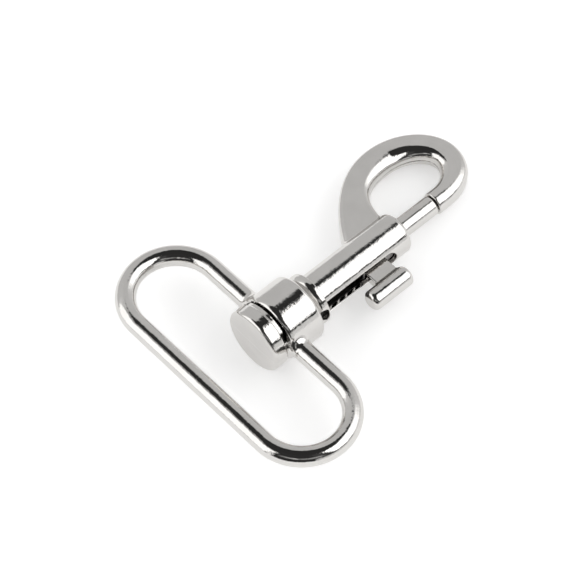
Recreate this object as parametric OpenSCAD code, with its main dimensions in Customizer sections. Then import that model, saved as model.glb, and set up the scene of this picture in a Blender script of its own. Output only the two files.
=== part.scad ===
// Swivel snap hook for webbing. The swivel axis is X, from the loop towards the hook.
// The origin is the middle of the bar that the webbing passes round. Millimetres.

/* [Webbing loop] */
// Inner length of the loop, the width of the webbing it takes
webbing_w = 40; // [30:1:60]
// Inner gap of the loop along the swivel axis
loop_gap = 11.9; // [10:0.1:18]
// Diameter of the loop's wire
wire_d = 3.3; // [2.6:0.1:4]
// Radius of the fillet where the wire leaves the drum
root_fillet = 1; // [0.6:0.1:1.4]

/* [Drum] */
// Diameter of the sleeve
sleeve_d = 11.2; // [10.8:0.1:13]
// Reach of the sleeve in front of the near wire's centre line
sleeve_front = 5.25; // [4.5:0.05:7]
// Reach of the sleeve behind the near wire's centre line
sleeve_back = 1.3; // [0.9:0.05:1.5]
// Rounding of the sleeve's front edge
sleeve_round = 0.7; // [0.2:0.05:0.9]
// Bevel of the sleeve's back edge, along the axis
sleeve_bevel = 0.85; // [0.5:0.05:1.1]
// Depth of the sleeve's back bevel
sleeve_bevel_drop = 0.5; // [0.3:0.05:0.7]
// Diameter of the rear disc
disc_d = 10.8; // [10.4:0.1:12]
// Thickness of the rear disc
disc_t = 2.95; // [2.6:0.05:4]
// Rounding of the rear disc's edge
disc_round = 0.55; // [0.3:0.05:0.8]
// Width of the step at the rear disc's front edge
disc_step_w = 0.7; // [0.4:0.05:0.9]
// Depth of that step
disc_step_h = 0.08; // [0.04:0.02:0.2]
// Width of the slit between the rear disc and the sleeve
slit_w = 0.4; // [0.25:0.05:0.6]
// Depth of the webs that close the slit, in from the rear disc's rim
web_w = 0.8; // [0.6:0.1:1]
// Width of the notch at each end of the slit
notch_w = 1.1; // [0.8:0.05:1.3]
// Length of the notch at each end of the slit
notch_l = 1; // [0.6:0.05:1]

/* [Swivel stem] */
// Diameter of the stem in the sleeve
stem_d = 4.4; // [3.6:0.1:5.2]
// Diameter of the stem's riveted head
head_d = 6.6; // [6:0.1:6.8]
// Thickness of the stem's head
head_t = 1.6; // [1:0.1:1.7]
// Diameter of the collar
collar_d = 8.8; // [7.6:0.1:9.4]
// Length of the collar
collar_l = 1.95; // [1.8:0.05:2.6]
// Bevel of the collar's back edge
collar_bevel = 0.9; // [0.3:0.05:1.2]
// Width of the staking slot in the collar's rim, along the axis
stake_w = 1.3; // [0.8:0.05:1.4]
// Length of the staking slot round the rim
stake_l = 2.2; // [1.6:0.1:3]
// Depth of the staking slot
stake_h = 1.4; // [0.6:0.1:1.5]
// Turn of the staking slot above the thumb tab's plane
stake_angle = 8; // [-20:1:20]
// Length of the spigot that is pressed into the barrel
spigot_l = 0.6; // [0.4:0.1:0.8]

/* [Barrel] */
// Outer diameter of the barrel
barrel_d = 6.9; // [6.7:0.1:7.6]
// Length of the barrel
barrel_l = 18.2; // [17.4:0.1:20.6]
// Rounding of the barrel's front edge
barrel_round = 1.2; // [0.4:0.1:1.3]
// Diameter of the bore
bore_d = 5.4; // [5.3:0.05:5.5]
// Thickness of the barrel's front wall
front_wall = 2.4; // [1.8:0.1:2.6]
// Width of the slot for the thumb tab
slot_w = 3.2; // [2.6:0.05:3.4]
// Length of the slot from the collar to its round end
slot_l = 14.8; // [14.2:0.1:15.2]

/* [Hook bow] */
// Inner length of the eye, from the barrel to the front of the bow
eye_l = 13; // [11:0.1:16]
// Inner height of the eye above the swivel axis
eye_h = 9.05; // [7.5:0.05:12]
// Distance of the crown in front of the barrel
crown_x = 6.2; // [5:0.1:7]
// Width of the bow at its crown
crown_w = 4.7; // [3.6:0.1:6]
// Width of the bow at its front
front_w = 4.2; // [3.6:0.1:5.5]
// Height of the bow's foremost point above the swivel axis
front_y = 5; // [4:0.1:6]
// Width of the bow where it grows out of the barrel
root_w = 9.7; // [8:0.1:11]
// Slope of the back edge at the root
root_angle = 50; // [44:1:58]
// Thickness of the bow
bow_t = 3.9; // [3.2:0.1:4.4]
// Diameter of the nose that the rod meets
nose_d = 3.85; // [3.2:0.05:4.4]
// Length of the straight nose
nose_l = 1.7; // [1:0.1:2.5]
// Distance from the barrel to the end face of the nose
gate_l = 7.4; // [6:0.1:8]
// Rounding of the back edge
back_round = 1; // [0.6:0.1:1.6]
// Rounding of the inner edge at the root
inner_round = 1.1; // [0.6:0.1:1.6]
// Rounding of the inner edge at the crown
crown_round = 2.3; // [1.4:0.1:2.6]

/* [Bolt] */
// Diameter of the rod that closes the gate
rod_d = 3.4; // [2.8:0.1:3.6]
// Gap between the rod and the nose
gate_gap = 0.15; // [0.05:0.05:0.3]
// Chamfer at the rod's tip
rod_chamfer = 0.35; // [0.1:0.05:0.6]
// Free length between the bolt's piston and the front wall
shoulder_gap = 0.9; // [0.6:0.1:1.2]
// Length of the bolt's piston
piston_l = 6.4; // [6:0.1:6.6]
// Diameter of the spring pocket in the piston
pocket_d = 4.4; // [4.3:0.05:4.5]
// Depth of the spring pocket
pocket_l = 5.2; // [4.6:0.1:5.4]
// Width of the thumb tab's neck along the axis
neck_w = 4.3; // [3.4:0.1:5]
// Distance from the piston's rear end to the neck
neck_back = 0.15; // [0:0.05:0.6]
// Thickness of the neck
neck_t = 1.7; // [1.4:0.05:2.2]
// Distance of the thumb bar from the swivel axis
bar_y = 6.8; // [6.5:0.1:8]
// Diameter of the thumb bar
bar_d = 3.4; // [2.8:0.1:3.8]
// Length of the thumb bar
bar_l = 8.1; // [7:0.1:9.5]
// Overhang of the thumb bar behind the neck
bar_back = 2.85; // [1.5:0.05:3]
// Rounding of the thumb bar's ends
bar_round = 0.9; // [0.5:0.05:1.1]

/* [Spring] */
// Diameter of the spring's wire
spring_wire = 0.5; // [0.35:0.05:0.55]
// Outer diameter of the spring
spring_d = 4.1; // [3.7:0.05:4.15]
// Number of turns
spring_turns = 9; // [7:1:10]

/* [Clearances] */
// Radial clearance of the stem in the sleeve
stem_fit = 0.07; // [0.03:0.01:0.1]
// Clearance in front of and behind the sleeve
sleeve_play = 0.2; // [0.1:0.05:0.3]
// Clearance of the stem's head in the drum
head_fit = 0.15; // [0.1:0.05:0.25]
// Radial clearance of the bolt's piston in the bore
piston_fit = 0.07; // [0.03:0.01:0.1]
// Radial clearance of the rod in the front wall
rod_fit = 0.06; // [0.03:0.01:0.1]
// Radial clearance of the pressed spigot
press_fit = 0.01; // [0.01:0.01:0.03]
// Axial clearance at each end of the spring
spring_fit = 0.05; // [0.03:0.01:0.1]

/* [Hidden] */
$fn = 96;
// Overlap of cutters and of fused solids
eps = 0.5;
// Steps of a small rounding
round_steps = 5;

// Stations along the axis
wire_x = loop_gap + wire_d;
sleeve_rear = wire_x - sleeve_back;
sleeve_nose = wire_x + sleeve_front;
disc_front = sleeve_rear - slit_w;
disc_rear = disc_front - disc_t;
cavity_rear = sleeve_rear - head_t - 2 * head_fit;
web_y = disc_d / 2 - web_w;
collar_rear = sleeve_nose + sleeve_play;
barrel_rear = collar_rear + collar_l;
barrel_front = barrel_rear + barrel_l;
bore_front = barrel_front - front_wall;
nose_end = barrel_front + gate_l;
rod_tip = nose_end - gate_gap;
piston_front = bore_front - shoulder_gap;
piston_rear = piston_front - piston_l;
neck_rear = piston_rear + neck_back;
bar_rear = neck_rear - bar_back;
slot_front = barrel_rear + slot_l;
spring_rear = barrel_rear + spigot_l + spring_fit;
spring_front = piston_rear + pocket_l - spring_fit;

// Half-round ends of the loop, and the flare at the wire's root
loop_r = (loop_gap + wire_d) / 2;
loop_half = (webbing_w + wire_d) / 2 - loop_r;
flare_r = wire_d / 2 + root_fillet;
flare_sink = 0.35;
root_y = sleeve_d / 2 - flare_sink;

// Small edges
head_round = 0.5;
collar_edge = 0.1;
piston_chamfer = 0.2;
// The straight wires end in a short taper inside the half-round ends
lap = 0.4;
lap_drop = 0.05;
neck_sink = 0.35;
nose_chamfer = 0.25;
stake_rim = 0.2;

// Steps round the spring, its wire and a quarter of the bow's section
turn_steps = 14;
wire_sides = 6;
section_steps = 5;
closed_pitch = 1.1;

// Where the bow starts inside the barrel, and how far its inner crown is set forward
root_y0 = 1;
root_inset = 0.7;
crown_shift = 0.3;
// Fullness of the bow's curves, as the share of a span that their handles take
root_lead = 0.5;
back_full = 0.65;
inner_full = 0.6;
crown_full = 0.84;
quarter = 0.54;
nose_full = 0.62;
// The nose keeps narrow flats, so that its section has no doubled point
nose_round = nose_d / 2 - 0.05;

// Corners of the bow's plan: back edge and inner edge, each in three curves
crown = barrel_front + crown_x;
eye_front = barrel_front + eye_l;
root_dir = [cos(root_angle), sin(root_angle)];
back_start = [barrel_front - root_w, root_y0];
back_crown = [crown, eye_h + crown_w];
back_front = [eye_front + front_w, front_y];
back_nose = [nose_end + nose_l, -nose_d / 2];
inner_start = [barrel_front - root_inset, root_y0];
inner_crown = [crown + crown_shift, eye_h];
inner_front = [eye_front, front_y];
inner_nose = [nose_end + nose_l, nose_d / 2];

// Points of a circular arc
function arc(c, r, a0, a1, n = round_steps) =
    [for (i = [0:n]) let (a = a0 + (a1 - a0) * i / n) c + r * [cos(a), sin(a)]];

// Point of a cubic curve
function curve(p, q, r, s, t) =
    pow(1 - t, 3) * p + 3 * pow(1 - t, 2) * t * q + 3 * (1 - t) * t * t * r + t * t * t * s;

// Solid turned about the X axis, from points given as [x, radius]
module turned(points) {
    rotate([0, 90, 0])
        rotate_extrude()
            polygon([for (p = points) [p[1], p[0]]]);
}

// Cylinder along X between two stations
module xcyl(d, x0, x1) {
    translate([x0, 0, 0])
        rotate([0, 90, 0])
            cylinder(d = d, h = x1 - x0);
}

// Wire of the loop: webbing bar, two half-round ends, two stubs that end in the drum
module wire() {
    wire_end = [[wire_d / 2, loop_half], [wire_d / 2 - lap_drop, loop_half + lap], [0, loop_half + lap]];
    for (side = [-1, 1])
        rotate([-90 * side, 0, 0])
            rotate_extrude()
                polygon(concat([[0, -lap], [wire_d / 2, -lap]], wire_end));
    for (side = [-1, 1])
        translate([loop_r, side * loop_half, 0])
            rotate([0, 0, side > 0 ? 0 : 180])
                rotate_extrude(angle = 180)
                    translate([loop_r, 0])
                        circle(d = wire_d);
    for (side = [-1, 1])
        translate([wire_x, 0, 0])
            rotate([-90 * side, 0, 0])
                rotate_extrude()
                    polygon(concat(
                        [[0, web_y - notch_l], [flare_r, web_y - notch_l]],
                        arc([flare_r, root_y + root_fillet], root_fillet, 270, 180),
                        wire_end
                    ));
}

// Sleeve and rear disc, one turned shape with a bevel behind the sleeve
module drum() {
    turned(concat(
        [[disc_rear, 0]],
        arc([disc_rear + disc_round, disc_d / 2 - disc_round], disc_round, 180, 90),
        [
            [disc_front - disc_step_w, disc_d / 2],
            [disc_front - disc_step_w + disc_step_h, disc_d / 2 - disc_step_h],
            [disc_front, disc_d / 2 - disc_step_h],
            [sleeve_rear, sleeve_d / 2 - sleeve_bevel_drop]
        ],
        [for (a = [30:30:90])
            [sleeve_rear + sleeve_bevel * (1 - cos(a)), sleeve_d / 2 - sleeve_bevel_drop * (1 - sin(a))]],
        arc([sleeve_nose - sleeve_round, sleeve_d / 2 - sleeve_round], sleeve_round, 90, 0),
        [[sleeve_nose, 0]]
    ));
}

// Loop casting: wire, sleeve and rear disc, slit across for the stem's head
module webbing_loop() {
    color("silver")
        difference() {
            union() {
                wire();
                drum();
            }
            xcyl(stem_d + 2 * stem_fit, sleeve_rear - eps, sleeve_nose + eps);
            xcyl(head_d + 2 * head_fit, cavity_rear, sleeve_rear);
            translate([disc_front, -web_y, -sleeve_d])
                cube([slit_w, 2 * web_y, 2 * sleeve_d]);
            for (side = [-1, 1])
                translate([sleeve_rear - notch_w, side * (web_y - notch_l / 2) - notch_l / 2, -sleeve_d])
                    cube([notch_w, notch_l, 2 * sleeve_d]);
        }
}

// Stem: riveted head in the drum, shank in the sleeve, collar with a staking slot, spigot in the barrel
module swivel_stem() {
    head_front = sleeve_rear - head_fit;
    head_rear = head_front - head_t;
    color("lightgray")
        difference() {
            turned(concat(
                [[head_rear, 0]],
                arc([head_rear + head_round, head_d / 2 - head_round], head_round, 180, 90),
                [
                    [head_front, head_d / 2],
                    [head_front, stem_d / 2],
                    [collar_rear, stem_d / 2],
                    [collar_rear, collar_d / 2 - collar_bevel],
                    [collar_rear + collar_bevel, collar_d / 2],
                    [barrel_rear - collar_edge, collar_d / 2],
                    [barrel_rear, collar_d / 2 - collar_edge],
                    [barrel_rear, bore_d / 2 - press_fit],
                    [barrel_rear + spigot_l, bore_d / 2 - press_fit],
                    [barrel_rear + spigot_l, 0]
                ]
            ));
            rotate([-stake_angle, 0, 0])
                translate([barrel_rear - stake_rim - stake_w / 2, stake_h - collar_d / 2, 0])
                    rotate([90, 0, 0])
                        staking_slot();
        }
}

// Cutter with two round ends, as long as the slot and deeper than it
module staking_slot() {
    half = (stake_l - stake_w) / 2;
    translate([-stake_w / 2, -half, 0])
        cube([stake_w, 2 * half, stake_h + eps]);
    for (side = [-1, 1])
        translate([0, side * half, 0])
            cylinder(d = stake_w, h = stake_h + eps);
}

// Section of the bow: back edge b, inner edge i, roundings rb and ri, half thickness h
function section(b, i, rb, ri, h) =
    let (
        w = norm(b - i),
        u = (b - i) / w,
        m = (b + i) / 2,
        da = 90 / section_steps,
        back = [for (k = [0:section_steps]) [w / 2 - rb * (1 - cos(k * da)), h - rb * (1 - sin(k * da))]],
        inner = [for (k = [section_steps:-1:0]) [ri * (1 - cos(k * da)) - w / 2, h * sin(k * da)]],
        top = concat(back, inner),
        low = [for (k = [len(top) - 2:-1:0]) [top[k][0], -top[k][1]]]
    )
    [for (p = concat(top, low)) let (q = m + u * p[0]) [q[0], q[1], p[1]]];

// Row of sections between two pairs of curves, with roundings and thickness blended
function stretch(back, inner, r0, r1, n) =
    [for (k = [0:n - 1])
        let (t = k / n, r = r0 + (r1 - r0) * t)
        section(
            curve(back[0], back[1], back[2], back[3], t),
            curve(inner[0], inner[1], inner[2], inner[3], t),
            r[0], r[1], r[2]
        )];

// Shell over a row of sections that have the same number of points
module loft(rows) {
    n = len(rows[0]);
    last = len(rows) - 1;
    polyhedron(
        points = [for (row = rows) each row],
        faces = concat(
            [[for (k = [0:n - 1]) k]],
            [for (j = [0:last - 1], k = [0:n - 1])
                let (a = j * n + k, b = j * n + (k + 1) % n)
                each [[a, a + n, b + n], [a, b + n, b]]],
            [[for (k = [n - 1:-1:0]) last * n + k]]
        )
    );
}

// Bow from the barrel over the crown and round to the nose
module bow() {
    root = [back_round, inner_round, bow_t / 2];
    top = [back_round, crown_round, bow_t / 2];
    front = [back_round, inner_round, bow_t / 2];
    nose = [nose_round, nose_round, nose_d / 2];
    up = [0, 1];
    ahead = [1, 0];
    rise = eye_h - root_y0;
    fall = front_y + nose_d / 2;
    drop = front_y - nose_d / 2;
    reach_back = back_front[0] - back_crown[0];
    reach_inner = inner_front[0] - inner_crown[0];
    tip = nose_end + nose_chamfer;
    edge = nose_d / 2 - nose_chamfer;
    loft(concat(
        stretch(
            [back_start, back_start + root_lead * root_dir,
                back_crown - back_full * (back_crown[0] - back_start[0]) * ahead, back_crown],
            [inner_start, inner_start + inner_full * rise * up,
                inner_crown - crown_full * (inner_crown[0] - inner_start[0]) * ahead, inner_crown],
            root, top, 18
        ),
        stretch(
            [back_crown, back_crown + quarter * reach_back * ahead,
                back_front + quarter * (back_crown[1] - front_y) * up, back_front],
            [inner_crown, inner_crown + quarter * reach_inner * ahead,
                inner_front + quarter * (eye_h - front_y) * up, inner_front],
            top, front, 12
        ),
        stretch(
            [back_front, back_front - nose_full * fall * up,
                back_nose + nose_full * (back_front[0] - back_nose[0]) * ahead, back_nose],
            [inner_front, inner_front - quarter * drop * up,
                inner_nose + quarter * (inner_front[0] - inner_nose[0]) * ahead, inner_nose],
            front, nose, 14
        ),
        [
            section(back_nose, inner_nose, nose[0], nose[1], nose[2]),
            section([tip, -nose_d / 2], [tip, nose_d / 2], nose[0], nose[1], nose[2]),
            section([nose_end, -edge], [nose_end, edge], nose[0] - nose_chamfer, nose[1] - nose_chamfer, edge)
        ]
    ));
}

// Hook casting: bow and barrel, bored from behind, slotted for the thumb tab
module hook_body() {
    slot_end = slot_front - slot_w / 2;
    color("gainsboro")
        difference() {
            union() {
                turned(concat(
                    [[barrel_rear, 0], [barrel_rear, barrel_d / 2]],
                    arc([barrel_front - barrel_round, barrel_d / 2 - barrel_round], barrel_round, 90, 0),
                    [[barrel_front, 0]]
                ));
                bow();
            }
            xcyl(bore_d, barrel_rear - eps, bore_front);
            xcyl(rod_d + 2 * rod_fit, bore_front - eps, barrel_front + eps);
            translate([barrel_rear - eps, -barrel_d, -slot_w / 2])
                cube([slot_end - barrel_rear + eps, barrel_d, slot_w]);
            translate([slot_end, 0, 0])
                rotate([90, 0, 0])
                    cylinder(d = slot_w, h = barrel_d);
        }
}

// Bolt casting: rod, piston with the spring pocket, neck and thumb bar
module bolt() {
    piston_r = bore_d / 2 - piston_fit;
    pocket_end = piston_rear + pocket_l;
    color("silver") {
        union() {
            turned([
                [piston_rear, pocket_d / 2],
                [piston_rear, piston_r],
                [piston_front - piston_chamfer, piston_r],
                [piston_front, piston_r - piston_chamfer],
                [piston_front, rod_d / 2],
                [rod_tip - rod_chamfer, rod_d / 2],
                [rod_tip, rod_d / 2 - rod_chamfer],
                [rod_tip, 0],
                [pocket_end, 0],
                [pocket_end, pocket_d / 2]
            ]);
            translate([neck_rear, -bar_y, -neck_t / 2])
                cube([neck_w, bar_y - piston_r + neck_sink, neck_t]);
            translate([0, -bar_y, 0])
                turned(concat(
                    [[bar_rear, 0]],
                    arc([bar_rear + bar_round, bar_d / 2 - bar_round], bar_round, 180, 90),
                    arc([bar_rear + bar_l - bar_round, bar_d / 2 - bar_round], bar_round, 90, 0),
                    [[bar_rear + bar_l, 0]]
                ));
        }
    }
}

// Compression spring with a closed turn at each end
module bolt_spring() {
    coil_r = (spring_d - spring_wire) / 2;
    length = spring_front - spring_rear - spring_wire;
    close = closed_pitch * spring_wire;
    pitch = (length - 2 * close) / (spring_turns - 2);
    steps = spring_turns * turn_steps;
    color("darkgray")
        loft([for (k = [0:steps])
            let (
                t = k / turn_steps,
                run = t < 1 ? close * t :
                    t > spring_turns - 1 ? length - close * (spring_turns - t) : close + pitch * (t - 1),
                x = spring_rear + spring_wire / 2 + run
            )
            [for (j = [0:wire_sides - 1])
                let (
                    a = -360 * j / wire_sides,
                    r = coil_r + spring_wire / 2 * cos(a)
                )
                [x + spring_wire / 2 * sin(a), r * cos(360 * t), r * sin(360 * t)]]]);
}

webbing_loop();
swivel_stem();
hook_body();
bolt();
bolt_spring();
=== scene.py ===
import itertools
import math

import bpy
import numpy as np
from mathutils import Matrix, Vector


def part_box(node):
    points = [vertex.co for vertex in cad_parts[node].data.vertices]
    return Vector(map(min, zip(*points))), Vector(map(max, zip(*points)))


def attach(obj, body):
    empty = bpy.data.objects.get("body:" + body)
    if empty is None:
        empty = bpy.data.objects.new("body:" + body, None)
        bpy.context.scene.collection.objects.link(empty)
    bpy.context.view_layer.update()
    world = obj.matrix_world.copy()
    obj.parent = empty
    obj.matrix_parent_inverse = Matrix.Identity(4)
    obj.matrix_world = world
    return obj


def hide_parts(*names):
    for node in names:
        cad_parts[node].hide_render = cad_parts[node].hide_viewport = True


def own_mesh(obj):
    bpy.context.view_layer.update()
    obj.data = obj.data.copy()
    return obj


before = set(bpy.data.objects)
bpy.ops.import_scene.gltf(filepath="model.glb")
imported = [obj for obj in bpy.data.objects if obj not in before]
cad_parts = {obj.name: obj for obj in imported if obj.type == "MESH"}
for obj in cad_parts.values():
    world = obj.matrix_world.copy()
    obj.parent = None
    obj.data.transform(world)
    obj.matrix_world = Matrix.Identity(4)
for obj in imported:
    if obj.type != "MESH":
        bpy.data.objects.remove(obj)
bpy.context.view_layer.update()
MM = 0.001

# Sizes below are in millimetres, in the part's own frame: X along the swivel axis, Z up.


# ---------- combining distance functions ----------
def join(a, b, r):
    """Union with a fillet of radius r."""
    hollow = np.hypot(np.maximum(r - a, 0), np.maximum(r - b, 0))
    return np.maximum(np.minimum(a, b), r) - hollow


def meet(a, b, r):
    """Intersection with its edge rounded to radius r."""
    proud = np.hypot(np.maximum(a + r, 0), np.maximum(b + r, 0))
    return np.minimum(np.maximum(a, b), -r) + proud


def cut(a, b, r):
    """a without b, the new edge rounded to radius r."""
    return meet(a, -b, r)


def slab(x, low, high):
    return np.maximum(low - x, x - high)


def turned(x, rho, low, high, radius, r0, r1):
    """Round solid between two stations, its two rims rounded."""
    return meet(meet(rho - radius, low - x, r0), x - high, r1)


# ---------- webbing loop ----------
WIRE_R, LOOP_R, LOOP_HALF = 1.65, 7.6, 14.05
SLEEVE_REAR, SLEEVE_NOSE, SLEEVE_R, SLEEVE_BEVEL = 13.9, 20.45, 5.6, 0.5 / 0.85
DISC_REAR, DISC_FRONT, DISC_R = 10.55, 13.5, 5.4
STEP_X, STEP_L, STEP_H = 12.75, 0.1, 0.08
WEB_REAR, WEB_FRONT, WEB_R, WEB_Y = 12.0, 15.0, 5.15, 4.6
NOTCH_REAR, NOTCH_L = 12.8, 1.0
SHANK_HOLE_REAR, SHANK_HOLE_R = 13.0, 2.27
HEAD_ROOM_REAR, HEAD_ROOM_R = 12.0, 3.45


def loop_shape(p):
    x, y, z = p.T
    rho, ay = np.hypot(y, z), np.abs(y)
    ring = np.abs(np.hypot(x - LOOP_R, np.maximum(ay - LOOP_HALF, 0)) - LOOP_R)
    wire = np.hypot(ring, z) - WIRE_R
    bevel = meet(rho - SLEEVE_R, (SLEEVE_REAR - x) * SLEEVE_BEVEL, 0.5)
    sleeve = meet(bevel, x - SLEEVE_NOSE, 0.7)
    step = STEP_H * np.clip((x - STEP_X) / STEP_L, 0, 1)
    rear = meet(meet(rho - DISC_R + step, DISC_REAR - x, 0.55), x - DISC_FRONT, 0.12)
    web = np.maximum(rho - WEB_R, slab(x, WEB_REAR, WEB_FRONT))
    f = join(np.minimum(np.minimum(sleeve, rear), web), wire, 0.9)
    slit = np.maximum(slab(x, DISC_FRONT, SLEEVE_REAR), ay - WEB_Y)
    notch = np.maximum(slab(x, NOTCH_REAR, SLEEVE_REAR), slab(ay, WEB_Y - NOTCH_L, WEB_Y))
    f = cut(f, np.minimum(slit, notch), 0.08)
    f = cut(f, np.maximum(rho - SHANK_HOLE_R, SHANK_HOLE_REAR - x), 0.1)
    return cut(f, np.maximum(rho - HEAD_ROOM_R, slab(x, HEAD_ROOM_REAR, SLEEVE_REAR)), 0.05)


# ---------- stem ----------
HEAD_REAR, HEAD_FRONT, HEAD_R = 12.15, 13.75, 3.3
SHANK_REAR, SHANK_FRONT, SHANK_R = 13.0, 21.0, 2.2
COLLAR_REAR, COLLAR_FRONT, COLLAR_R, COLLAR_BEVEL = 20.65, 22.6, 4.4, 0.9
SPIGOT_REAR, SPIGOT_FRONT, SPIGOT_R = 22.4, 23.2, 2.69
STAKE_X, STAKE_R, STAKE_HALF, STAKE_TURN = 21.75, 0.65, 0.45, math.radians(8)
STAKE_FLOOR = 3.0


def stem_shape(p):
    x, y, z = p.T
    rho = np.hypot(y, z)
    head = turned(x, rho, HEAD_REAR, HEAD_FRONT, HEAD_R, 0.5, 0.1)
    shank = turned(x, rho, SHANK_REAR, SHANK_FRONT, SHANK_R, 0.1, 0.1)
    collar = turned(x, rho, COLLAR_REAR, COLLAR_FRONT, COLLAR_R, 0.1, 0.12)
    bevel = (rho - x - COLLAR_R + COLLAR_REAR + COLLAR_BEVEL) / math.sqrt(2)
    collar = meet(collar, bevel, 0.35)
    # staking slot in the rim, with two round ends
    along = z * math.cos(STAKE_TURN) + y * math.sin(STAKE_TURN)
    deep = z * math.sin(STAKE_TURN) - y * math.cos(STAKE_TURN)
    stadium = np.hypot(x - STAKE_X, np.maximum(np.abs(along) - STAKE_HALF, 0)) - STAKE_R
    collar = cut(collar, np.maximum(stadium, STAKE_FLOOR - deep), 0.12)
    spigot = turned(x, rho, SPIGOT_REAR, SPIGOT_FRONT, SPIGOT_R, 0.1, 0.15)
    return np.minimum(join(join(head, shank, 0.05), collar, 0.05), spigot)


# ---------- hook ----------
BARREL_REAR, BARREL_FRONT, BARREL_R = 22.6, 40.8, 3.45
BORE_FRONT, BORE_R = 38.4, 2.7
ROD_HOLE_REAR, ROD_HOLE_FRONT, ROD_HOLE_R = 38.0, 42.0, 1.76
SLOT_END, SLOT_R = 35.8, 1.6
NOSE_END, NOSE_R = 48.2, 1.925
HALF_T = 1.95
RIDGE_H, RIDGE_W = 0.07, 0.17
# Plan boxes: the cut at the nose's end holds in the first, the bow's end in the barrel in the second
NOSE_BOX = (43, 51, 3)
ROOT_X, ROOT_Y, ROOT_CUT = 44, 1, 0.4


def straight(a, b):
    a, b = np.array(a, float), np.array(b, float)
    return [a, a + (b - a) / 3, b + (a - b) / 3, b]


# Plan of the bow: each edge is a chain of cubic curves from the barrel round to the nose
BACK = np.array(
    [
        [(31.1, 1), (31.421, 1.383), (36.665, 13.75), (47.0, 13.75)],
        [(47.0, 13.75), (52.94, 13.75), (58.0, 9.725), (58.0, 5.0)],
        [(58.0, 5.0), (58.0, 0.7065), (54.922, -NOSE_R), (49.9, -NOSE_R)],
        straight((49.9, -NOSE_R), (46.5, -NOSE_R)),
    ],
    float,
)
INNER = np.array(
    [
        [(40.1, 1), (40.1, 5.83), (41.252, 9.05), (47.3, 9.05)],
        [(47.3, 9.05), (50.81, 9.05), (53.8, 7.187), (53.8, 5.0)],
        [(53.8, 5.0), (53.8, 3.3395), (52.006, NOSE_R), (49.9, NOSE_R)],
        straight((49.9, NOSE_R), (46.5, NOSE_R)),
    ],
    float,
)
# Rounding of each edge at places along its chain of curves, and half the height of the inner wall
BACK_AT, BACK_ROUND = [0, 2, 3, 4], [1.0, 1.0, 1.875, 1.875]
INNER_AT = [0, 0.45, 0.8, 1.15, 1.6, 2, 3, 4]
INNER_ROUND = [1.0, 0.95, 1.5, 2.5, 1.7, 1.2, 1.875, 1.875]
INNER_WALL = [0.55, 0.55, 0.55, 0.55, 0.45, 0.2, 0, 0]


def on_curve(spans, u):
    """Point, first and second derivative of a chain of cubics at the parameter u."""
    k = np.clip(u.astype(int), 0, len(spans) - 1)
    t = (u - k)[:, None]
    a, b, c, d = (spans[k, i] for i in range(4))
    s = 1 - t
    at = s**3 * a + 3 * s * s * t * b + 3 * s * t * t * c + t**3 * d
    d1 = 3 * (s * s * (b - a) + 2 * s * t * (c - b) + t * t * (d - c))
    d2 = 6 * (s * (c - 2 * b + a) + t * (d - 2 * c + b))
    return at, d1, d2


def edge_distance(q, spans):
    """Distance of plan points from a chain of cubics, positive on its left, and where on the chain."""
    n, tiny = len(spans), 1e-9
    us = np.linspace(0, n, n * 24 + 1)
    line = on_curve(spans, us * (1 - tiny))[0]
    u = np.empty(len(q))
    for i in range(0, len(q), 20000):
        part = q[i : i + 20000]
        u[i : i + 20000] = us[((part[:, None] - line[None]) ** 2).sum(2).argmin(1)]
    u = np.minimum(u, n - tiny)
    for _ in range(3):
        at, d1, d2 = on_curve(spans, u)
        off, speed = at - q, (d1 * d1).sum(1)
        bend = np.maximum((off * d2).sum(1), -0.5 * speed)
        u = np.clip(u - np.clip((off * d1).sum(1) / (speed + bend), -0.1, 0.1), 0, n - tiny)
    at, d1, _ = on_curve(spans, u)
    off = q - at
    side = np.sign(d1[:, 0] * off[:, 1] - d1[:, 1] * off[:, 0])
    return side * np.hypot(*off.T), u


def bow_shape(p):
    x, y, z = p.T
    az = np.abs(z)
    out, u = edge_distance(p[:, :2], BACK)
    rb = np.interp(u, BACK_AT, BACK_ROUND)
    into, u = edge_distance(p[:, :2], INNER)
    ri, wall = np.interp(u, INNER_AT, INNER_ROUND), np.interp(u, INNER_AT, INNER_WALL)
    h = HALF_T - (HALF_T - NOSE_R) * np.clip((rb - 1) / 0.875, 0, 1)
    back = meet(out, az - h, rb)
    # the inner edge is a low wall between two quarter ellipses
    a, b, k = np.maximum(ri - into, 0), np.maximum(az - wall, 0), h - wall
    q = np.hypot(a / ri, b / k) + 1e-9
    slope = np.hypot(a / ri**2, b / k**2) + 1e-9
    inner = np.where(into < ri, (q - 1) * q / slope, az - h)
    # parting ridge of the mould
    inner = inner - RIDGE_H * np.exp(-((z / RIDGE_W) ** 2)) * (into > -1.0)
    rear, front, side = NOSE_BOX
    nose = np.where((x < front) & (x > rear) & (y < side), NOSE_END - x, -9.0)
    f = meet(np.maximum(back, inner), nose, 0.22)
    return np.where((x <= ROOT_X) & (y < ROOT_Y), np.maximum(f, ROOT_CUT - y), f)


def hook_shape(p):
    x, y, z = p.T
    rho = np.hypot(y, z)
    barrel = turned(x, rho, BARREL_REAR, BARREL_FRONT, BARREL_R, 0.15, 0.8)
    f = join(barrel, bow_shape(p), 0.25)
    f = cut(f, np.maximum(rho - BORE_R, x - BORE_FRONT), 0.1)
    rod_hole = np.maximum(rho - ROD_HOLE_R, slab(x, ROD_HOLE_REAR, ROD_HOLE_FRONT))
    f = cut(f, rod_hole, 0.15)
    slot = np.maximum(np.hypot(np.maximum(x - SLOT_END, 0), z) - SLOT_R, y)
    return cut(f, slot, 0.15)


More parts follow.
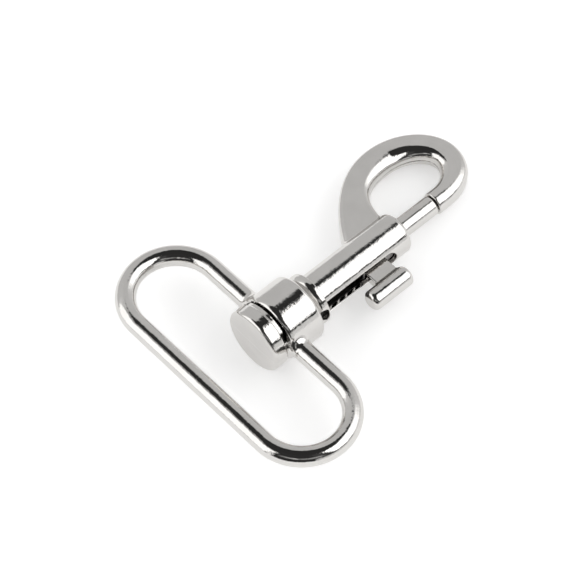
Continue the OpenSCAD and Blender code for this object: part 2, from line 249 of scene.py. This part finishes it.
# ---------- bolt ----------
ROD_REAR, ROD_FRONT, ROD_R = 34.0, 48.05, 1.7
PISTON_REAR, PISTON_FRONT, PISTON_R = 31.1, 37.5, 2.63
POCKET_FRONT, POCKET_R = 36.3, 2.2
NECK_REAR, NECK_FRONT, NECK_TOP, NECK_HALF = 31.25, 35.55, -2.28, 0.85
BAR_REAR, BAR_FRONT, BAR_Y, BAR_R, BAR_ROUND = 28.4, 36.5, -6.8, 1.7, 0.9


def bolt_shape(p):
    x, y, z = p.T
    rho = np.hypot(y, z)
    rod = turned(x, rho, ROD_REAR, ROD_FRONT, ROD_R, 0.1, 0.35)
    piston = turned(x, rho, PISTON_REAR, PISTON_FRONT, PISTON_R, 0.1, 0.2)
    f = cut(join(rod, piston, 0.05), np.maximum(rho - POCKET_R, x - POCKET_FRONT), 0.1)
    neck = meet(slab(x, NECK_REAR, NECK_FRONT), np.abs(z) - NECK_HALF, 0.2)
    neck = meet(neck, slab(y, BAR_Y, NECK_TOP), 0.1)
    bar = turned(x, np.hypot(y - BAR_Y, z), BAR_REAR, BAR_FRONT, BAR_R, BAR_ROUND, BAR_ROUND)
    return join(np.minimum(f, neck), bar, 0.25)


# ---------- surfaces ----------
def sample(shape, low, high, step):
    """Distances on a grid: exact near the surface, from a coarse grid away from it."""
    block = 4
    n = np.ceil((high - low) / (step * block)).astype(int)
    axes = [low[i] + step * (block * np.arange(n[i]) + (block - 1) / 2) for i in range(3)]
    centres = np.stack(np.meshgrid(*axes, indexing="ij"), -1)
    coarse = shape(centres.reshape(-1, 3)).reshape(n)
    grid = coarse
    for axis in range(3):
        grid = np.repeat(grid, block, axis)
    near = np.argwhere(np.abs(coarse) < step * (block * 1.2 + 1))
    inner = np.array(list(itertools.product(range(block), repeat=3)))
    index = (near[:, None] * block + inner[None]).reshape(-1, 3)
    grid[tuple(index.T)] = shape(low + step * index)
    return grid


def net(grid, low, step):
    """Surface net of the zero level: one point for each mixed cell, one face for each crossed edge."""
    n = np.array(grid.shape) - 1
    corners = np.array(list(itertools.product((0, 1), repeat=3)))
    inside = grid < 0
    count = sum(inside[i : i + n[0], j : j + n[1], k : k + n[2]].astype(np.int8) for i, j, k in corners)
    cells = np.argwhere((count > 0) & (count < 8))
    value = np.stack([grid[tuple((cells + c).T)] for c in corners], 1)
    total, hits = np.zeros((len(cells), 3)), np.zeros(len(cells))
    for a, b in itertools.combinations(range(8), 2):
        if np.abs(corners[a] - corners[b]).sum() != 1:
            continue
        cross = (value[:, a] < 0) != (value[:, b] < 0)
        t = value[cross, a] / (value[cross, a] - value[cross, b])
        total[cross] += corners[a] + t[:, None] * (corners[b] - corners[a])
        hits[cross] += 1
    points = low + step * (cells + total / hits[:, None])
    number = np.full(n, -1)
    number[tuple(cells.T)] = np.arange(len(cells))
    faces = []
    for axis in range(3):
        e, u, v = (np.eye(3, dtype=int)[(axis + k) % 3] for k in range(3))
        stop = np.array(grid.shape) - e
        first = inside[: stop[0], : stop[1], : stop[2]]
        second = inside[e[0] :, e[1] :, e[2] :]
        at = np.argwhere(first != second)
        quad = np.stack([number[tuple((at - d).T)] for d in (u + v, v, 0 * u, u)], 1)
        turn = ~first[tuple(at.T)]
        quad[turn] = quad[turn][:, ::-1]
        faces.append(quad)
    return points, np.concatenate(faces)


def gradient(shape, p, h=0.01):
    return np.stack([shape(p + e) - shape(p - e) for e in np.eye(3) * h], 1) / (2 * h)


def settle(shape, points, step):
    """Puts points on the surface, along its gradient."""
    for _ in range(2):
        g = gradient(shape, points)
        move = g * (shape(points) / np.maximum((g * g).sum(1), 0.2))[:, None]
        length = np.linalg.norm(move, axis=1)
        points = points - move * np.minimum(1, step / np.maximum(length, 1e-9))[:, None]
    return points


def relax(points, faces):
    """Moves each point halfway to the middle of its neighbours."""
    total, hits = np.zeros_like(points), np.zeros(len(points))
    for k in range(4):
        a, b = faces[:, k], faces[:, (k + 1) % 4]
        for i, j in ((a, b), (b, a)):
            for c in range(3):
                total[:, c] += np.bincount(i, points[j, c], len(points))
            hits += np.bincount(i, minlength=len(points))
    return 0.5 * points + 0.5 * total / np.maximum(hits, 1)[:, None]


def make_object(name, points, faces, normals=None):
    mesh = bpy.data.meshes.new(name)
    mesh.vertices.add(len(points))
    mesh.vertices.foreach_set("co", (points * MM).astype(np.float32).ravel())
    sides = faces.shape[1]
    mesh.loops.add(faces.size)
    mesh.loops.foreach_set("vertex_index", faces.astype(np.int32).ravel())
    mesh.polygons.add(len(faces))
    mesh.polygons.foreach_set("loop_start", np.arange(0, faces.size, sides, dtype=np.int32))
    mesh.update(calc_edges=True)
    mesh.validate()
    mesh.shade_smooth()
    if normals is not None:
        mesh.normals_split_custom_set_from_vertices(normals.astype(np.float32))
    thing = bpy.data.objects.new(name, mesh)
    bpy.context.scene.collection.objects.link(thing)
    return thing


def cast(name, node, body, shape, step, material):
    """Builds a piece from its distance function and lets it stand for a CAD node."""
    low, high = (np.array(c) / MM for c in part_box(node))
    low, high = low - 2.3 * step, high + 2.3 * step
    points, faces = net(sample(shape, low, high, step), low, step)
    for _ in range(2):
        points = settle(shape, relax(points, faces), step)
    normals = gradient(shape, points)
    normals /= np.linalg.norm(normals, axis=1)[:, None]
    thing = make_object(name, points, faces, normals)
    thing.data.materials.append(material)
    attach(thing, body)
    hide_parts(node)


def coil(name, low, high, radius, wire_r, turns, material):
    """Compression spring with a closed turn at each end."""
    per_turn, sides = 36, 12
    t = np.linspace(0, turns, turns * per_turn + 1)
    length = high - low - 2 * wire_r
    close = 2.2 * wire_r
    pitch = (length - 2 * close) / (turns - 2)
    run = np.interp(t, [0, 1, turns - 1, turns], [0, close, close + pitch * (turns - 2), length])
    angle = 2 * np.pi * t
    centre = np.stack([low + wire_r + run, radius * np.cos(angle), radius * np.sin(angle)], 1)
    out = np.stack([0 * t, np.cos(angle), np.sin(angle)], 1)
    along = np.array([1.0, 0, 0])
    rings = []
    for k in range(sides):
        a = 2 * np.pi * k / sides
        rings.append(centre + wire_r * (math.cos(a) * out + math.sin(a) * along))
    points = np.stack(rings, 1).reshape(-1, 3)
    j, k = np.meshgrid(np.arange(len(t) - 1), np.arange(sides), indexing="ij")
    a, b = (j * sides + k).ravel(), (j * sides + (k + 1) % sides).ravel()
    tube = np.stack([a, a + sides, b + sides, b], 1)
    middle = len(points)
    points = np.concatenate([points, centre[[0, -1]]])
    last = (len(t) - 1) * sides
    caps = []
    for k in range(0, sides, 2):
        m, n = (k + 1) % sides, (k + 2) % sides
        caps.append([middle, k, m, n])
        caps.append([middle + 1, last + n, last + m, last + k])
    thing = make_object(name, points, np.concatenate([tube, np.array(caps)]))
    thing.data.materials.append(material)
    return thing


# ---------- materials ----------
# Noise scales are per metre, bump heights and seam sizes in metres.
WAVE_SCALE, GRAIN_SCALE, PIT_SCALE, WANDER_SCALE, SMEAR_SCALE, TINT_SCALE = 450, 2900, 210, 140, 900, 300
WAVE_H, GRAIN_H, PIT_H, SEAM_H = 34e-6, 15e-6, 16e-6, 45e-6
SEAM_WANDER, SEAM_WIDTH, PIT_SIZE = 0.4e-3, 0.15e-3, 0.03
SMOOTH, DULL, RUBBED = 0.02, 0.42, 0.95


def plated(name, tint, ripple, wear, parting=0.0, bore=None, bore_shade=0.4):
    """Bright nickel over a casting: fine ripple, soft waviness, small pits, rubbed patches, and painted
    shade darkening the colour inside the bores.
    """
    material = bpy.data.materials.new(name)
    material.use_nodes = True
    nodes, links = material.node_tree.nodes, material.node_tree.links
    shader = nodes["Principled BSDF"]
    shader.inputs["Metallic"].default_value = 1.0
    place = nodes.new("ShaderNodeTexCoord")

    def noise(scale, detail, rough=0.5):
        made = nodes.new("ShaderNodeTexNoise")
        made.inputs["Scale"].default_value = scale
        made.inputs["Detail"].default_value = detail
        made.inputs["Roughness"].default_value = rough
        links.new(place.outputs["Object"], made.inputs["Vector"])
        return made.outputs["Fac"]

    def spread(value, low, high, to_low, to_high):
        made = nodes.new("ShaderNodeMapRange")
        made.inputs["From Min"].default_value = low
        made.inputs["From Max"].default_value = high
        made.inputs["To Min"].default_value = to_low
        made.inputs["To Max"].default_value = to_high
        links.new(value, made.inputs["Value"])
        return made.outputs["Result"]

    def bump(height, distance, under=None):
        made = nodes.new("ShaderNodeBump")
        made.inputs["Strength"].default_value = 1.0
        made.inputs["Distance"].default_value = distance
        links.new(height, made.inputs["Height"])
        if under:
            links.new(under, made.inputs["Normal"])
        return made.outputs["Normal"]

    waves = bump(noise(WAVE_SCALE, 1), WAVE_H * ripple)
    grain = bump(noise(GRAIN_SCALE, 2.5, 0.6), GRAIN_H * ripple, waves)
    cells = nodes.new("ShaderNodeTexVoronoi")
    cells.inputs["Scale"].default_value = PIT_SCALE
    links.new(place.outputs["Object"], cells.inputs["Vector"])
    pits = bump(spread(cells.outputs["Distance"], 0.0, PIT_SIZE, 0.0, 1.0), PIT_H * wear, grain)
    # parting line of the mould, along the flat middle plane
    split = nodes.new("ShaderNodeSeparateXYZ")
    links.new(place.outputs["Object"], split.inputs[0])
    wander = nodes.new("ShaderNodeMath")
    links.new(split.outputs["Z"], wander.inputs[0])
    shift = spread(noise(WANDER_SCALE, 2), 0.0, 1.0, -SEAM_WANDER, SEAM_WANDER)
    links.new(shift, wander.inputs[1])
    off = nodes.new("ShaderNodeMath")
    off.operation = "ABSOLUTE"
    links.new(wander.outputs[0], off.inputs[0])
    seam = bump(spread(off.outputs[0], 0.0, SEAM_WIDTH, 1.0, 0.0), SEAM_H * parting, pits)
    links.new(seam, shader.inputs["Normal"])

    smear = spread(noise(SMEAR_SCALE, 4, 0.65), 0.35, 0.75, SMOOTH, SMOOTH + 0.06 * wear)
    links.new(smear, shader.inputs["Roughness"])
    shade = nodes.new("ShaderNodeMix")
    shade.data_type = "RGBA"
    links.new(spread(noise(TINT_SCALE, 3), 0.35, 0.7, 0.0, 1.0), shade.inputs["Factor"])
    shade.inputs["A"].default_value = (*tint, 1)
    shade.inputs["B"].default_value = (*(RUBBED * c for c in tint), 1)
    colour = shade.outputs["Result"]
    if bore:
        # inside the bores the colour is darkened as painted shade, and the roughness is raised for the
        # thin, matt plating there
        radius, front = bore
        flat = nodes.new("ShaderNodeCombineXYZ")
        links.new(split.outputs["Y"], flat.inputs[0])
        links.new(split.outputs["Z"], flat.inputs[1])
        size = nodes.new("ShaderNodeVectorMath")
        size.operation = "LENGTH"
        links.new(flat.outputs[0], size.inputs[0])
        within = spread(size.outputs["Value"], radius * MM, (radius + 0.1) * MM, 1.0, 0.0)
        behind = spread(split.outputs["X"], front * MM, (front + 0.1) * MM, 1.0, 0.0)
        deep = nodes.new("ShaderNodeMath")
        deep.operation = "MULTIPLY"
        links.new(within, deep.inputs[0])
        links.new(behind, deep.inputs[1])
        bore_shading = nodes.new("ShaderNodeMix")
        bore_shading.data_type = "RGBA"
        links.new(deep.outputs[0], bore_shading.inputs["Factor"])
        links.new(colour, bore_shading.inputs["A"])
        bore_shading.inputs["B"].default_value = (*(bore_shade * c for c in tint), 1)
        colour = bore_shading.outputs["Result"]
        rough = nodes.new("ShaderNodeMix")
        links.new(deep.outputs[0], rough.inputs["Factor"])
        links.new(smear, rough.inputs["A"])
        rough.inputs["B"].default_value = DULL
        links.new(rough.outputs["Result"], shader.inputs["Roughness"])
    links.new(colour, shader.inputs["Base Color"])
    return material


NICKEL = (0.66, 0.645, 0.625)
# The bore tuples give the radius and front of the inside that is darkened as painted shade.
loop_metal = plated("plated_loop", NICKEL, 1.0, 1.0, 1.0)
stem_metal = plated("plated_stem", NICKEL, 0.9, 0.8, bore=(3.6, 22.5), bore_shade=0.3)
hook_metal = plated("plated_hook", NICKEL, 1.0, 1.0, 1.0, (2.8, 38.8))
bolt_metal = plated("plated_bolt", NICKEL, 0.9, 0.9, bore=(2.66, 37.4))
spring_metal = plated("spring_steel", (0.6, 0.59, 0.58), 0.8, 1.8)

# ---------- pieces ----------
cast("loop_casting", "webbing_loop", "loop", loop_shape, 0.16, loop_metal)
cast("stem_turned", "swivel_stem", "hook", stem_shape, 0.13, stem_metal)
cast("hook_casting", "hook_body", "hook", hook_shape, 0.14, hook_metal)
cast("bolt_casting", "bolt", "bolt", bolt_shape, 0.11, bolt_metal)

SPRING_REAR, SPRING_FRONT, TRAVEL = 23.25, 36.25, 7.1
COIL_R, COIL_WIRE_R, COIL_TURNS = 1.8, 0.25, 9
spring = coil("spring_wire", SPRING_REAR, SPRING_FRONT, COIL_R, COIL_WIRE_R, COIL_TURNS, spring_metal)
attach(spring, "hook")
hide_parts("bolt_spring")
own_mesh(spring)

# ---------- floor ----------
# The part lies on its drum and on the front of the bow, so the floor is tilted in the part's frame.
FLOOR_X, FLOOR_Z, FLOOR_SLOPE, FLOOR_SIDE = 20.0, -5.62, 0.0975, 1500.0
PAPER, PAPER_GLOW = 0.9, 0.33
# Painted falloff of light: the floor's colour and glow are full within 0.08 m of the part's origin and
# fall to 0.8 of it beyond 0.3 m.
FLOOR_FALLOFF = (("From Min", 0.08), ("From Max", 0.3), ("To Min", 1.0), ("To Max", 0.8))


def build_floor():
    plan = np.array([(-1, -1), (1, -1), (1, 1), (-1, 1)]) * FLOOR_SIDE
    points = np.array([(x, y, FLOOR_Z + FLOOR_SLOPE * (x - FLOOR_X)) for x, y in plan])
    floor = make_object("floor", points, np.array([[0, 1, 2, 3]]))
    material = bpy.data.materials.new("floor")
    material.use_nodes = True
    nodes, links = material.node_tree.nodes, material.node_tree.links
    shader = nodes["Principled BSDF"]
    place = nodes.new("ShaderNodeTexCoord")
    away = nodes.new("ShaderNodeVectorMath")
    away.operation = "LENGTH"
    links.new(place.outputs["Object"], away.inputs[0])
    # painted falloff of light, darker farther from the part
    fade = nodes.new("ShaderNodeMapRange")
    for name, value in FLOOR_FALLOFF:
        fade.inputs[name].default_value = value
    links.new(away.outputs["Value"], fade.inputs["Value"])
    paper = nodes.new("ShaderNodeMix")
    paper.data_type = "RGBA"
    paper.inputs["A"].default_value = (0, 0, 0, 1)
    paper.inputs["B"].default_value = (PAPER, PAPER, PAPER, 1)
    links.new(fade.outputs["Result"], paper.inputs["Factor"])
    links.new(paper.outputs["Result"], shader.inputs["Base Color"])
    links.new(paper.outputs["Result"], shader.inputs["Emission Color"])
    shader.inputs["Roughness"].default_value = 0.9
    shader.inputs["Specular IOR Level"].default_value = 0.0
    shader.inputs["Emission Strength"].default_value = PAPER_GLOW
    floor.data.materials.append(material)


build_floor()


# ---------- studio ----------
SHELL = 1200.0
FILL = 0.62
PATCH_CELLS = 10


def direction(azimuth, elevation):
    a, e = math.radians(azimuth), math.radians(elevation)
    return np.array([math.cos(a) * math.cos(e), math.sin(a) * math.cos(e), math.sin(e)])


studio = bpy.data.materials.new("studio_light")
studio.use_nodes = True
nodes, links = studio.node_tree.nodes, studio.node_tree.links
nodes.clear()
level = nodes.new("ShaderNodeAttribute")
level.attribute_name = "level"
light = nodes.new("ShaderNodeEmission")
links.new(level.outputs["Fac"], light.inputs["Strength"])
links.new(light.outputs[0], nodes.new("ShaderNodeOutputMaterial").inputs["Surface"])


def panel(name, corners, levels, share):
    """Patch of the studio between four directions, its light blended from a level at each corner."""
    n = PATCH_CELLS
    corners, levels = np.array(corners, float), np.zeros(4) + levels
    points, light = [], []
    for i in range(n + 1):
        for j in range(n + 1):
            u, v = i / n, j / n
            part = np.array([(1 - u) * (1 - v), u * (1 - v), u * v, (1 - u) * v])
            points.append(direction(*(part @ corners)) * share * SHELL)
            light.append(part @ levels)
    i, j = np.meshgrid(np.arange(n), np.arange(n), indexing="ij")
    k = (i * (n + 1) + j).ravel()
    thing = make_object(name, np.array(points), np.stack([k, k + n + 1, k + n + 2, k + 1], 1))
    thing.data.attributes.new("level", "FLOAT", "POINT").data.foreach_set("value", light)
    thing.data.materials.append(studio)
    thing.visible_camera = False
    return thing


def flag(name, corners, levels, share):
    """Dark cloth that shows in the metal and takes no light from the floor."""
    thing = panel(name, corners, levels, share)
    thing.visible_diffuse = thing.visible_shadow = False


# Name, corners as azimuth and elevation in degrees, light level (one, or one a corner), share of SHELL
FLAGS = [
    ("black_side", [(178, -10), (292, -10), (292, 70), (178, 70)], 0.04, 1.0),
    ("black_top_a", [(-100, 59), (20, 59), (20, 90), (-100, 90)], 0.035, 1.0),
    ("black_top_b", [(20, 59), (140, 54), (140, 90), (20, 90)], 0.035, 1.0),
    ("black_top_c", [(140, 46), (292, 46), (292, 90), (140, 90)], 0.035, 1.0),
    ("black_left", [(-110, 10), (-50, 10), (-50, 64), (-110, 64)], [0.08, 0.04, 0.04, 0.08], 0.98),
    ("frame_left_low", [(124, -8), (174, -8), (182, 28), (114, 28)], 0.05, 0.925),
    ("frame_left_top", [(114, 28), (182, 28), (186, 47.5), (112, 50)], 0.05, 0.925),
    ("frame_right", [(-84, 14), (-48, 14), (-32.5, 36), (-84, 36)], 0.04, 0.925),
    ("grey_side_a", [(192, 24), (222, 26), (222, 36), (192, 36)], [0.15, 0.7, 0.7, 0.15], 0.9),
    ("grey_side_b", [(222, 26), (262, 24), (262, 38), (222, 36)], [0.3, 0.4, 0.4, 0.3], 0.9),
]
PANELS = [
    ("low_board", [(-110, -16), (-28, -16), (-28, 14), (-110, 14)], [0.75, 1.0, 1.0, 0.7], 0.95),
    ("board_fade", [(-28, -16), (20, -16), (20, 17), (-28, 17)], [1.0, 0.68, 0.68, 0.95], 0.95),
    ("wall_fade", [(-56, 14), (20, 17), (20, 59.4), (-56, 61)], [1.1, 0.68, 0.68, 1.3], 0.95),
    ("sweep", [(20, -16), (70, -16), (70, 59.6), (20, 59.4)], [0.68, 0.66, 0.66, 0.68], 0.95),
    ("sweep_end", [(70, -16), (132, -16), (92, 53), (70, 59.6)], [0.66, 0.72, 0.72, 0.66], 0.95),
    ("wall_left", [(92, -16), (184, -16), (184, 50), (92, 53)], [0.74, 1.2, 1.1, 0.74], 0.955),
    ("wall_top", [(92, 49), (176, 47), (140, 57), (104, 57)], [0.6, 0.6, 0.45, 0.5], 0.95),
    ("softbox_left_low", [(124, -4), (173, -4), (181, 28), (114, 28)], 1.6, 0.9),
    ("softbox_left", [(114, 28), (181, 28), (184, 46), (112, 48.5)], 1.6, 0.9),
    ("softbox_right_low", [(-78, 22), (-22, 18), (-16, 36), (-82, 36)], [2.0, 1.8, 1.8, 2.0], 0.9),
    ("softbox_right", [(-82, 36), (-16, 36), (0, 50), (-87, 50)], [2.0, 1.8, 1.8, 2.0], 0.9),
    ("softbox_right_top", [(-87, 50), (0, 50), (-8, 65), (-82, 65.2)], [2.0, 1.8, 1.8, 2.0], 0.9),
    ("fade_right_low", [(-22, 18), (-8, 18), (-2, 36), (-16, 36)], [1.6, 0.95, 0.95, 1.6], 0.9),
    ("fade_right", [(-16, 36), (-2, 36), (14, 50), (0, 50)], [1.6, 0.95, 1.0, 1.6], 0.9),
    ("fade_right_top", [(0, 50), (14, 50), (14, 59), (-8, 65)], [1.6, 1.0, 1.0, 1.8], 0.9),
]
for patch in FLAGS:
    flag(*patch)
for patch in PANELS:
    panel(*patch)

world = bpy.data.worlds.new("room")
bpy.context.scene.world = world
world.use_nodes = True
nodes, links = world.node_tree.nodes, world.node_tree.links
nodes.clear()
rays = nodes.new("ShaderNodeLightPath")
seen_by = rays.outputs["Is Camera Ray"]
for kind in ("Is Glossy Ray", "Is Transmission Ray"):
    either = nodes.new("ShaderNodeMath")
    either.operation = "MAXIMUM"
    links.new(seen_by, either.inputs[0])
    links.new(rays.outputs[kind], either.inputs[1])
    seen_by = either.outputs[0]
fill, white = nodes.new("ShaderNodeBackground"), nodes.new("ShaderNodeBackground")
fill.inputs["Color"].default_value = (FILL, FILL, FILL, 1)
white.inputs["Color"].default_value = (1, 1, 1, 1)
mix = nodes.new("ShaderNodeMixShader")
links.new(seen_by, mix.inputs["Fac"])
links.new(fill.outputs[0], mix.inputs[1])
links.new(white.outputs[0], mix.inputs[2])
links.new(mix.outputs[0], nodes.new("ShaderNodeOutputWorld").inputs["Surface"])

# ---------- camera ----------
CAMERA = Vector((-158.598, -191.119, 391.202)) * MM
RIGHT = Vector((0.7348, -0.6783, 0)).normalized()
AHEAD = Vector((0.3805, 0.4122, -0.8279)).normalized()
UP = RIGHT.cross(AHEAD).normalized()
SENSOR, LENS, CLIP_NEAR, CLIP_FAR = 36.0, 194.44, 0.02, 10
camera = bpy.data.objects.new("camera", bpy.data.cameras.new("camera"))
bpy.context.scene.collection.objects.link(camera)
camera.data.sensor_width = SENSOR
camera.data.lens = LENS
camera.data.clip_start, camera.data.clip_end = CLIP_NEAR, CLIP_FAR
turn = Matrix((RIGHT, UP, -AHEAD)).transposed()
camera.matrix_world = Matrix.Translation(CAMERA) @ turn.to_4x4()
bpy.context.scene.camera = camera
bpy.context.scene.view_settings.view_transform = "Standard"
